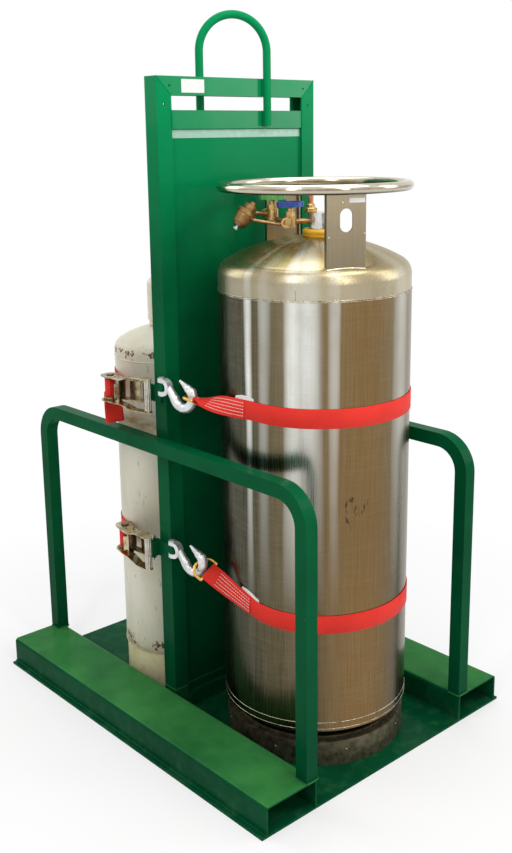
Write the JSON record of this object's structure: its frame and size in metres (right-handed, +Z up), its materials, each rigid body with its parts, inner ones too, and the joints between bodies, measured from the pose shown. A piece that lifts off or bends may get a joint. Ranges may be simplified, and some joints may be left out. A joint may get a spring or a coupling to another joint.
{
  "type": "cylinder cart with fire wall",
  "caption": "Fork-pocket gas cylinder cart with a lifting fire wall, guard rails, a liquid oxygen cylinder, an acetylene cylinder and ratchet straps.",
  "frame": {"origin": "on the ground at the centre of the base plate", "axes": "+Z up, +Y along the fork channels from the liquid cylinder to the gas cylinder, +X to the right seen from the liquid cylinder's side"},
  "size_m": [0.946, 1.186, 1.9731],
  "materials": {
    "green_paint": "gloss enamel",
    "stainless": "vertical brushed",
    "cream_paint": "satin, rust at the seams",
    "webbing": "woven",
    "zinc_steel": "dull forged and zinc plated",
    "yellow_zinc": "yellow passivated zinc",
    "brass": "cast and turned",
    "copper": "drawn tube",
    "green_enamel": "enamel",
    "blue_enamel": "enamel",
    "yellow_plastic": "moulded",
    "insulation": "mineral fibre board",
    "porous_mass": "porous filling"
  },
  "bodies": {
    "root": {"base_plate": "green_paint", "fork_channel_left": "green_paint", "fork_channel_right": "green_paint", "guard_rail_left": "green_paint", "guard_rail_right": "green_paint", "wall_post_left": "green_paint", "wall_post_right": "green_paint", "wall_top_channel": "green_paint", "wall_bottom_channel": "green_paint", "wall_crossbars": "green_paint", "wall_sheet_front": "green_paint", "wall_sheet_rear": "green_paint", "wall_insulation": "insulation", "lifting_loop": "green_paint", "strap_lugs": "green_paint", "hook_pins": "zinc_steel", "strap_rings": "yellow_zinc", "strap_upper": "webbing", "strap_lower": "webbing", "ratchet_frame_upper": "yellow_zinc", "ratchet_frame_lower": "yellow_zinc", "anchor_bolts": "zinc_steel"},
    "hook_upper": {"hook_upper": "zinc_steel"},
    "spool_upper": {"spool_upper": "zinc_steel", "web_roll_upper": "webbing"},
    "frame_pawl_upper": {"frame_pawl_upper": "yellow_zinc"},
    "handle_upper": {"ratchet_handle_upper": "yellow_zinc"},
    "handle_pawl_upper": {"handle_pawl_upper": "yellow_zinc"},
    "hook_lower": {"hook_lower": "zinc_steel"},
    "spool_lower": {"spool_lower": "zinc_steel", "web_roll_lower": "webbing"},
    "frame_pawl_lower": {"frame_pawl_lower": "yellow_zinc"},
    "handle_lower": {"ratchet_handle_lower": "yellow_zinc"},
    "handle_pawl_lower": {"handle_pawl_lower": "yellow_zinc"},
    "dewar": {"dewar_shell": "stainless", "dewar_top_head": "stainless", "dewar_bottom_head": "stainless", "dewar_foot_ring": "stainless", "dewar_vessel": "stainless", "dewar_neck": "stainless", "dewar_pipes": "copper", "neck_collar": "yellow_plastic", "guard_ring": "stainless", "ring_supports": "stainless", "liquid_valve": "brass", "vent_valve": "brass", "pressure_regulator": "brass", "relief_valve": "brass"},
    "liquid_handwheel": {"liquid_handwheel": "green_enamel"},
    "vent_handwheel": {"vent_handwheel": "blue_enamel"},
    "regulator_screw": {"regulator_screw": "zinc_steel"},
    "gas_cylinder": {"gas_shell": "cream_paint", "gas_foot_ring": "cream_paint", "gas_neck": "cream_paint", "gas_filler": "porous_mass", "gas_valve": "brass"},
    "gas_valve_spindle": {"gas_valve_spindle": "zinc_steel"},
    "gas_cap": {"gas_cap": "cream_paint"}
  },
  "joints": [
    {"name": "hook_upper_swing", "type": "hinge", "parent": "root", "child": "hook_upper", "pos_m": [-0.2937, -0.012, 0.988], "axis": [0, 0, 1], "range_deg": [-1.5, 1.5]},
    {"name": "spool_upper_turn", "type": "hinge", "parent": "root", "child": "spool_upper", "pos_m": [-0.33307, 0.17346, 0.962], "axis": [0, 0, 1], "continuous": true},
    {"name": "frame_pawl_upper_slide", "type": "slide", "parent": "root", "child": "frame_pawl_upper", "axis": [0.3256, -0.9455, 0], "range_m": [0, 0.005], "stiffness_N_per_m": 200},
    {"name": "handle_upper_turn", "type": "hinge", "parent": "root", "child": "handle_upper", "pos_m": [-0.33307, 0.17346, 0.962], "axis": [0, 0, -1], "range_deg": [0, 90]},
    {"name": "handle_pawl_upper_slide", "type": "slide", "parent": "handle_upper", "child": "handle_pawl_upper", "axis": [0.1908, 0.9816, 0], "range_m": [0, 0.004]},
    {"name": "hook_lower_swing", "type": "hinge", "parent": "root", "child": "hook_lower", "pos_m": [-0.2937, -0.036, 0.529], "axis": [0, 0, 1], "range_deg": [-1, 1]},
    {"name": "spool_lower_turn", "type": "hinge", "parent": "root", "child": "spool_lower", "pos_m": [-0.30828, 0.16984, 0.512], "axis": [0, 0, 1], "continuous": true},
    {"name": "frame_pawl_lower_slide", "type": "slide", "parent": "root", "child": "frame_pawl_lower", "axis": [0.0523, -0.9986, 0], "range_m": [0, 0.005], "stiffness_N_per_m": 200},
    {"name": "handle_lower_turn", "type": "hinge", "parent": "root", "child": "handle_lower", "pos_m": [-0.30828, 0.16984, 0.512], "axis": [0, 0, -1], "range_deg": [0, 150]},
    {"name": "handle_pawl_lower_slide", "type": "slide", "parent": "handle_lower", "child": "handle_pawl_lower", "axis": [0.454, 0.891, 0], "range_m": [0, 0.004]},
    {"name": "dewar_lift", "type": "slide", "parent": "root", "child": "dewar", "axis": [0, 0, 1], "range_m": [0, 1.05]},
    {"name": "liquid_valve_turn", "type": "hinge", "parent": "dewar", "child": "liquid_handwheel", "pos_m": [-0.062, -0.207, 1.48], "axis": [0, 0, 1], "range_deg": [0, 720]},
    {"name": "vent_valve_turn", "type": "hinge", "parent": "dewar", "child": "vent_handwheel", "pos_m": [-0.062, -0.274, 1.464], "axis": [0, 0, 1], "range_deg": [0, 720]},
    {"name": "regulator_screw_turn", "type": "hinge", "parent": "dewar", "child": "regulator_screw", "pos_m": [-0.135, -0.186, 1.448], "axis": [-0.604, 0.2198, -0.766], "range_deg": [0, 720]},
    {"name": "gas_cylinder_lift", "type": "slide", "parent": "root", "child": "gas_cylinder", "axis": [0, 0, 1], "range_m": [0, 0.58]},
    {"name": "gas_valve_turn", "type": "hinge", "parent": "gas_cylinder", "child": "gas_valve_spindle", "pos_m": [-0.116, 0.196, 1.16], "axis": [0, 0, 1], "range_deg": [0, 540]},
    {"name": "gas_cap_lift", "type": "slide", "parent": "gas_cylinder", "child": "gas_cap", "axis": [0, 0, 1], "range_m": [0, 0.16]}
  ]
}
